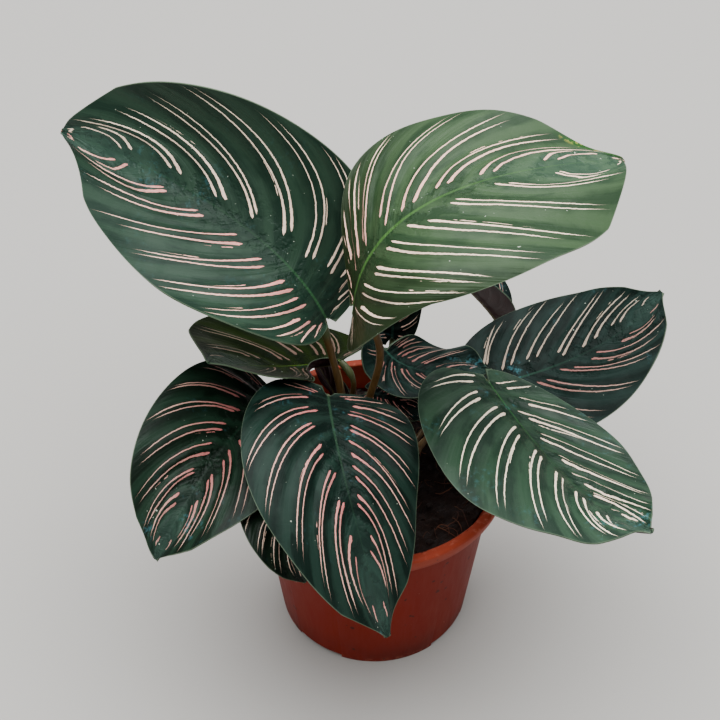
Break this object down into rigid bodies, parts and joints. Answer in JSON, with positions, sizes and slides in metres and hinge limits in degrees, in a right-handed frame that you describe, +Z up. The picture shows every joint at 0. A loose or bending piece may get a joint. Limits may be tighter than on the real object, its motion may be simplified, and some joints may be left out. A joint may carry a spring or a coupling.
{
  "type": "potted calathea",
  "caption": "Potted calathea: broad oval leaves with fine pink and cream stripes on slim stalks, in a round terracotta-coloured plastic nursery pot.",
  "frame": {"origin": "centre of the pot's underside, on the plane it stands on", "axes": "+Z up; -Y is the front; +X is to the right seen from the front"},
  "size_m": [0.263, 0.1775, 0.2471],
  "materials": {
    "pot_plastic": "moulded, satin",
    "potting_mix": "rough, damp",
    "leaf": "satin, striped",
    "stalk": "satin"
  },
  "bodies": {
    "root": {"pot": "pot_plastic", "soil": "potting_mix", "leaf_upper_left": "leaf", "stalk_upper_left": "stalk", "leaf_upper_right": "leaf", "stalk_upper_right": "stalk", "leaf_lower_left": "leaf", "stalk_lower_left": "stalk", "leaf_front": "leaf", "stalk_front": "stalk", "leaf_right_front": "leaf", "stalk_right_front": "stalk", "leaf_right_back": "leaf", "stalk_right_back": "stalk", "leaf_inner_left": "leaf", "stalk_inner_left": "stalk", "leaf_low_front": "leaf", "stalk_low_front": "stalk", "leaf_inner_right": "leaf", "stalk_inner_right": "stalk", "leaf_low_right": "leaf", "stalk_low_right": "stalk", "leaf_back_middle": "leaf", "stalk_back_middle": "stalk", "leaf_back_right": "leaf", "stalk_back_right": "stalk", "leaf_back_left": "leaf", "stalk_back_left": "stalk"}
  },
  "joints": []
}
